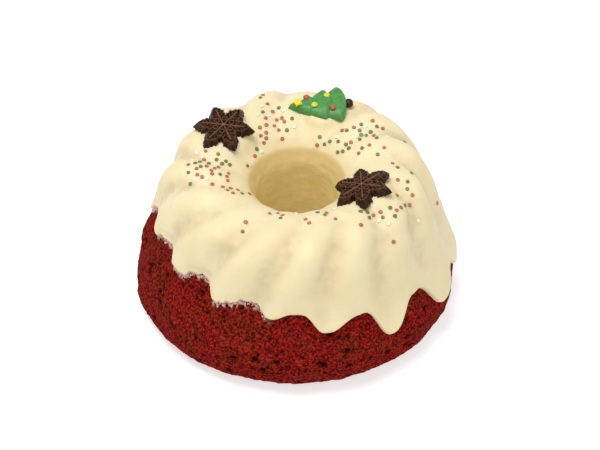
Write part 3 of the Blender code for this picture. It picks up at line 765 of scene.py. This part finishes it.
def scatter_spots(draw, spots, seats):
    """Adds loose patches of spots, clear of the others, of the hole and of the toppers."""
    taken = [(middle[:2], SPRINKLE_SPACING) for places in spots.values() for middle in places]
    taken += [(np.array((place @ Vector((middle, 0, 0)))[:2]), size) for place, middle, size, _ in seats]
    taken.append((np.zeros(2), HOLE_CLEARANCE))
    for angle, angle_spread, radius, radius_spread, count in SPRINKLE_PATCHES:
        for _ in range(count):
            for _ in range(MOST_TRIES):
                turn = math.radians(angle + draw.normal() * 0.55 * angle_spread)
                reach = (radius + draw.normal() * 0.5 * radius_spread) * MM
                spot = np.array([reach * math.sin(turn), -reach * math.cos(turn)])
                if any(np.linalg.norm(spot - middle) < size for middle, size in taken):
                    continue
                taken.append((spot, SPRINKLE_SPACING))
                colour = draw.choice(list(SPRINKLE_COLOURS), p=list(SPRINKLE_COLOURS.values()))
                spots[colour].append(np.array([*spot, 0]))
                break


def sprinkle(draw, tree, spot):
    """Points and faces of one disc, lying a little askew on the icing under its spot."""
    hit, normal, _, _ = tree.ray_cast(Vector((spot[0], spot[1], 0.2)), Vector((0, 0, -1)))
    tilt = Vector(draw.normal(size=3) * 0.10)
    turn = (normal + tilt).to_track_quat("Z", "X").to_matrix().to_4x4()
    size = SPRINKLE_RADIUS * draw.uniform(0.9, 1.08)
    outline = circle(size, 20) * (1, draw.uniform(0.93, 1.0))
    profile = [(share, (height - SPRINKLE_SUNK) * SPRINKLE_THICKNESS) for share, height in SPRINKLE_PROFILE]
    points, faces = turned(outline, profile)
    spin = Matrix.Rotation(draw.uniform(0, 6.28), 4, "Z")
    return in_place(Matrix.Translation(hit) @ turn @ spin, points), faces


def joined(solids):
    """Several solids of points and faces as one."""
    points, faces, first = [], [], 0
    for solid, solid_faces in solids:
        points.append(solid)
        faces += [[corner + first for corner in face] for face in solid_faces]
        first += len(solid)
    return np.concatenate(points), faces


def build_sprinkles(looks, icing, seats):
    """Discs where the CAD has them, with more of them scattered round about."""
    tree = surface_of(icing)
    draw = np.random.default_rng(SEED)
    nodes = {colour: [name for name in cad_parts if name.startswith(f"sprinkle_{colour}")]
             for colour in SPRINKLE_COLOURS}
    spots = {colour: [node_points(name).mean(axis=0) for name in names] for colour, names in nodes.items()}
    scatter_spots(draw, spots, seats)
    for colour, places in spots.items():
        discs = joined(sprinkle(draw, tree, spot) for spot in places)
        add_mesh(f"sprinkles_{colour}", *discs, looks[colour], f"sprinkle_{colour}", nodes[colour])


def icing_crumb(draw, section):
    """Points and faces of one lumpy crumb on the sponge, just below the torn edge."""
    angle = draw.uniform(RAGGED_FROM, RAGGED_TO)
    height, _ = drip_shape(np.array([angle]))
    below = draw.triangular(-0.4, 0.8, 3.0) * MM
    share = section.outer_share(height - below)
    spot, ahead = (section.skin(np.array([angle]), share, lift * MM)[0] for lift in (-0.15, 1))
    size = draw.uniform(0.22, 0.62) * MM
    lump, faces = turned(circle(1, 8), [(0.5, -0.6), (0.95, -0.2), (1.0, 0.2), (0.7, 0.7), (0.2, 0.95)])
    lump = lump * (1 + 0.35 * lumps(lump + spot / MM, 0.9, 80)[:, None])
    turn = Vector(ahead - spot).to_track_quat("Z", "X").to_matrix().to_4x4()
    shape = lump * size * (1, draw.uniform(0.6, 1), 0.8)
    return in_place(Matrix.Translation(spot) @ turn, shape), faces


def build_icing_crumbs(section, look):
    """Small crumbs of dried icing on the sponge, just under the torn stretch of the edge."""
    draw = np.random.default_rng(SEED + 1)
    add_mesh("icing_crumbs", *joined(icing_crumb(draw, section) for _ in range(CRUMBS)), look, "cream_icing")


# Materials

class Look:
    """A Principled material whose nodes work in the object's own metres."""

    def __init__(self, name, roughness, **sockets):
        self.material = bpy.data.materials.new(name)
        self.material.use_nodes = True
        self.nodes = self.material.node_tree.nodes
        self.links = self.material.node_tree.links
        self.shader = self.nodes["Principled BSDF"]
        self.shader.inputs["Roughness"].default_value = roughness
        for socket, value in sockets.items():
            self.shader.inputs[socket.replace("_", " ")].default_value = value
        self.place = self.nodes.new("ShaderNodeTexCoord").outputs["Object"]

    def texture(self, kind, size, stretch=(1, 1, 1)):
        """A texture node with features about `size` across."""
        spread = self.nodes.new("ShaderNodeMapping")
        spread.inputs["Scale"].default_value = [part / size for part in stretch]
        self.links.new(self.place, spread.inputs["Vector"])
        made = self.nodes.new(kind)
        made.inputs["Scale"].default_value = 1
        self.links.new(spread.outputs["Vector"], made.inputs["Vector"])
        return made

    def noise(self, size, detail=3, roughness=0.55, stretch=(1, 1, 1)):
        """Noise with features about `size` across, from 0 to 1."""
        made = self.texture("ShaderNodeTexNoise", size, stretch)
        made.inputs["Detail"].default_value = detail
        made.inputs["Roughness"].default_value = roughness
        return made.outputs["Fac"]

    def cells(self, size):
        """Distance from the middle of irregular cells about `size` across."""
        return self.texture("ShaderNodeTexVoronoi", size).outputs["Distance"]

    def painted(self, name):
        """What paint() stored on the piece under this name."""
        made = self.nodes.new("ShaderNodeAttribute")
        made.attribute_name = name
        return made.outputs["Fac"]

    def span(self, value, low, high, first=0.0, last=1.0):
        """Maps low..high to first..last, smoothly and clamped."""
        made = self.nodes.new("ShaderNodeMapRange")
        made.interpolation_type = "SMOOTHSTEP"
        for socket, number in (("From Min", low), ("From Max", high), ("To Min", first), ("To Max", last)):
            made.inputs[socket].default_value = number
        self.links.new(value, made.inputs["Value"])
        return made.outputs["Result"]

    def feed(self, socket, value):
        """Gives a socket a number, a colour or what another node puts out."""
        if isinstance(value, tuple):
            socket.default_value = (*value, 1)
        elif isinstance(value, (int, float)):
            socket.default_value = value
        else:
            self.links.new(value, socket)

    def times(self, first, second):
        """The product of two numbers."""
        made = self.nodes.new("ShaderNodeMath")
        made.operation = "MULTIPLY"
        self.feed(made.inputs[0], first)
        self.feed(made.inputs[1], second)
        return made.outputs["Value"]

    def blend(self, share, first, second):
        """Mixes two colours."""
        made = self.nodes.new("ShaderNodeMix")
        made.data_type = "RGBA"
        self.feed(made.inputs["Factor"], share)
        self.feed(made.inputs[6], first)
        self.feed(made.inputs[7], second)
        return made.outputs[2]

    def colour(self, value):
        self.links.new(value, self.shader.inputs["Base Color"])

    def roughness(self, value):
        self.links.new(value, self.shader.inputs["Roughness"])

    def bump(self, height, depth, before=None):
        """Raises the surface by up to `depth` metres."""
        made = self.nodes.new("ShaderNodeBump")
        made.inputs["Distance"].default_value = depth
        made.inputs["Strength"].default_value = 1.0
        self.links.new(height, made.inputs["Height"])
        if before is not None:
            self.links.new(before, made.inputs["Normal"])
        self.links.new(made.outputs["Normal"], self.shader.inputs["Normal"])
        return made.outputs["Normal"]


def sponge_look():
    """Red velvet crumb: deep red with painted shade in its pits and the crevices between grains, brighter
    torn crumbs and a browner baked skin.
    """
    look = Look("sponge_crumb", 0.95, Specular_IOR_Level=0.04)
    fine = look.noise(1.25 * MM, 4, 0.75)
    grain = look.cells(1.5 * MM)
    patches = look.noise(17 * MM, 3)
    red = look.blend(look.span(fine, 0.38, 0.62), (0.094, 0.004, 0.003), (0.57, 0.024, 0.016))
    crust = look.blend(look.span(fine, 0.38, 0.62), (0.094, 0.008, 0.003), (0.45, 0.042, 0.013))
    colour = look.blend(look.span(patches, 0.44, 0.62, 0, 0.85), red, crust)
    bright = look.span(look.noise(2.8 * MM, 3), 0.58, 0.70, 0, 0.6)
    colour = look.blend(bright, colour, (0.72, 0.045, 0.034))
    # Painted shade in the crevices between the crumb's grains, where the bump sinks
    dark = look.span(grain, 0.45, 0.9, 0, 0.8)
    colour = look.blend(dark, colour, (0.035, 0.003, 0.002))
    # Painted shade on the floor of each pit
    colour = look.blend(look.times(look.painted("pit_shade"), 0.95), colour, (0.018, 0.002, 0.002))
    frosted = look.times(look.painted("frost"), look.span(look.noise(2.8 * MM, 3), 0.49, 0.55))
    colour = look.blend(look.times(frosted, 0.9), colour, (0.86, 0.62, 0.52))
    look.colour(colour)
    first = look.bump(fine, 1.5 * MM)
    look.bump(look.span(grain, 0.2, 0.9, 1, 0), 0.7 * MM, first)
    return look.material


def icing_look():
    """Cream icing: satin, a little translucent, darker and warmer in the grooves, partly thinner icing and
    partly painted shade, and thin at the edge.
    """
    look = Look("cream_icing_satin", 0.5, Specular_IOR_Level=0.32, Subsurface_Weight=0.35,
                Subsurface_Radius=(0.006, 0.004, 0.0018), Subsurface_Scale=1.0)
    cloud = look.noise(22 * MM, 3)
    colour = look.blend(look.span(cloud, 0.35, 0.7), (0.87, 0.745, 0.475), (0.83, 0.69, 0.41))
    # The grooves between the flutes take a darker, warmer tone: partly thin icing, partly painted shade
    thin = look.span(look.noise(11 * MM, 2), 0.40, 0.68, 0.35, 1)
    thin_and_shaded_groove = look.times(look.span(look.painted("valley"), 0.15, 0.9), thin)
    colour = look.blend(look.times(thin_and_shaded_groove, 0.8), colour, (0.66, 0.52, 0.32))
    colour = look.blend(look.times(look.painted("edge"), 0.4), colour, (0.80, 0.62, 0.30))
    # In the hole the icing is painted ochre for the warm light bounced between its walls, streaked like thin
    # icing over the crumb
    streak = look.span(look.noise(3.6 * MM, 4, 0.6, (0.45, 0.45, 1)), 0.36, 0.66)
    throat = look.blend(streak, (0.86, 0.68, 0.29), (0.94, 0.78, 0.38))
    colour = look.blend(look.painted("hollow"), colour, throat)
    # Painted shade along the lip, partly thin icing over the sponge
    colour = look.blend(look.times(look.painted("lip"), 0.8), colour, (0.64, 0.47, 0.20))
    colour = look.blend(look.times(look.painted("torn"), 0.8), colour, (0.72, 0.50, 0.41))
    look.colour(colour)
    look.roughness(look.span(look.noise(7 * MM, 3), 0.3, 0.75, 0.44, 0.60))
    first = look.bump(look.noise(5 * MM, 4), 0.25 * MM)
    look.bump(look.noise(0.9 * MM, 3), 0.03 * MM, first)
    return look.material


def crumb_look():
    """Dried, crumbly icing stained by the sponge."""
    look = Look("dried_icing", 0.7, Specular_IOR_Level=0.2)
    mottling = look.span(look.noise(1.2 * MM), 0.35, 0.65)
    look.colour(look.blend(mottling, (0.60, 0.35, 0.28), (0.86, 0.68, 0.58)))
    look.bump(look.noise(0.7 * MM, 3), 0.2 * MM)
    return look.material


def chocolate_look(name, roughness, light, dark, relief_highlight):
    """Moulded dark chocolate with a faint bloom, darker on its sides by painted shade, lighter on its relief
    by a painted highlight.
    """
    look = Look(name, roughness, Specular_IOR_Level=0.2)
    mottle = look.span(look.noise(2.6 * MM, 4), 0.38, 0.66)
    colour = look.blend(mottle, dark, light)
    # Painted shade on the sides
    colour = look.blend(look.times(look.painted("flank_shade"), 0.6), colour, dark)
    # Painted highlight on the raised relief
    colour = look.blend(look.times(look.painted("crest"), 0.85), colour, relief_highlight)
    bloom = look.span(look.noise(0.9 * MM, 3), 0.6, 0.78, 0, 0.35)
    look.colour(look.blend(bloom, colour, tuple(1.8 * part for part in light)))
    look.roughness(look.span(look.noise(1.6 * MM, 3), 0.3, 0.7, roughness - 0.08, roughness + 0.12))
    look.bump(look.noise(1.1 * MM, 3), 0.12 * MM)
    return look.material


def sugar_look(name, colour, depth):
    """Piped or pressed sugar, faintly grainy and mottled with a shade `depth` times as bright."""
    look = Look(name, 0.42, Specular_IOR_Level=0.4, Subsurface_Weight=0.15,
                Subsurface_Radius=(0.0012, 0.0012, 0.0012), Subsurface_Scale=1.0)
    shade = tuple(depth * part for part in colour)
    look.colour(look.blend(look.span(look.noise(2.4 * MM, 3), 0.35, 0.68), shade, colour))
    look.roughness(look.span(look.noise(1.5 * MM, 2), 0.3, 0.7, 0.34, 0.55))
    look.bump(look.noise(0.6 * MM, 3), 0.06 * MM)
    return look.material


# The stage

FLOOR_SIZE = 6.0
WORLD_STRENGTH = 0.46
# Round lamps that face the cake's foot: name, place, diameter, power in watts
LAMPS = [("key", (-0.20, -0.06, 1.15), 0.6, 9.0), ("fill", (0.5, -0.85, 0.75), 0.8, 1.6)]
CAMERA_LENS = 93.5
CAMERA_DISTANCE = 0.9
CAMERA_RISE = math.radians(45.67)
CAMERA_AIM = Vector((1.8 * MM, 0, 43.4 * MM))


def link_new(name, data):
    """A new object in the scene."""
    made = bpy.data.objects.new(name, data)
    bpy.context.scene.collection.objects.link(made)
    return made


def build_floor():
    """A pale floor that glows a little, so that it stays near white round the cake's shadow."""
    mesh = bpy.data.meshes.new("floor")
    corners = [(x * FLOOR_SIZE, y * FLOOR_SIZE, 0) for x, y in ((-1, -1), (1, -1), (1, 1), (-1, 1))]
    mesh.from_pydata(corners, [], [(0, 1, 2, 3)])
    look = Look("pale_floor", 0.9, Specular_IOR_Level=0.0, Emission_Color=(1, 1, 1, 1),
                Emission_Strength=0.62, Base_Color=(0.62, 0.62, 0.62, 1))
    mesh.materials.append(look.material)
    floor = link_new("floor", mesh)


def light_scene():
    """Soft light from all round, a soft key from above and a weak fill from the front right."""
    world = bpy.data.worlds.new("studio")
    world.use_nodes = True
    background = world.node_tree.nodes["Background"]
    background.inputs["Color"].default_value = (1, 1, 1, 1)
    background.inputs["Strength"].default_value = WORLD_STRENGTH
    bpy.context.scene.world = world
    for name, spot, size, power in LAMPS:
        lamp = bpy.data.lights.new(name, "AREA")
        lamp.shape = "DISK"
        lamp.size = size
        lamp.energy = power
        made = link_new(name, lamp)
        made.location = spot
        made.rotation_euler = (-Vector(spot)).to_track_quat("-Z", "Y").to_euler()


def place_camera():
    """The camera, in front of the cake and looking down at it."""
    camera = bpy.data.cameras.new("camera")
    camera.lens = CAMERA_LENS
    camera.sensor_width = 36
    made = link_new("camera", camera)
    made.location = (0, -CAMERA_DISTANCE * math.cos(CAMERA_RISE), CAMERA_DISTANCE * math.sin(CAMERA_RISE))
    made.rotation_euler = (CAMERA_AIM - made.location).to_track_quat("-Z", "Y").to_euler()
    bpy.context.scene.camera = made
    bpy.context.scene.view_settings.view_transform = "Standard"


def main():
    place_camera()
    light_scene()
    build_floor()
    section = Section()
    left, right = flat_place("snowflake_left"), flat_place("snowflake_right")
    tree = flat_place("tree_foliage", TREE_LENGTH - 0.5 * MM)
    seats = [
        (left, 0, 17 * MM, 4.2 * MM), (right, 0, 17 * MM, 3.0 * MM),
        (tree, 0.42 * TREE_LENGTH, 0.55 * TREE_LENGTH, 2.2 * MM),
    ]
    build_sponge(section, sponge_look())
    icing = build_icing(section, icing_look(), seats)
    build_icing_crumbs(section, crumb_look())

    # Colours: light and dark chocolate, then the painted highlight on the relief
    chocolate = chocolate_look("snowflake_chocolate", 0.32, (0.095, 0.035, 0.013), (0.020, 0.005, 0.0015),
                               (0.25, 0.13, 0.075))
    for side in ("left", "right"):
        build_snowflake(f"snowflake_on_{side}", f"snowflake_{side}", chocolate)

    build_tree(sugar_look("sugar_green_satin", (0.084, 0.315, 0.070), 0.75), tree)
    build_star(sugar_look("sugar_gold_satin", (0.90, 0.74, 0.035), 0.85), tree)
    yellow = sugar_look("sugar_lemon_satin", (0.72, 0.76, 0.07), 0.85)
    red = sugar_look("sugar_red_satin", (0.48, 0.13, 0.06), 0.7)
    for colour, peak, look in (("yellow", 0.45, yellow), ("red", 0.0, red)):
        for number in (1, 2):
            build_dot(colour, number, peak, look, tree)
    build_trunk(chocolate_look("trunk_gloss", 0.2, (0.07, 0.024, 0.013), (0.033, 0.011, 0.006),
                               (0.1, 0.04, 0.02)), tree)

    sprinkle_looks = {
        "red": sugar_look("sprinkle_red_matt", (0.50, 0.165, 0.095), 0.85),
        "green": sugar_look("sprinkle_green_matt", (0.20, 0.245, 0.045), 0.75),
        "white": sugar_look("sprinkle_white_matt", (0.88, 0.82, 0.67), 0.95),
    }
    build_sprinkles(sprinkle_looks, icing, seats)


main()
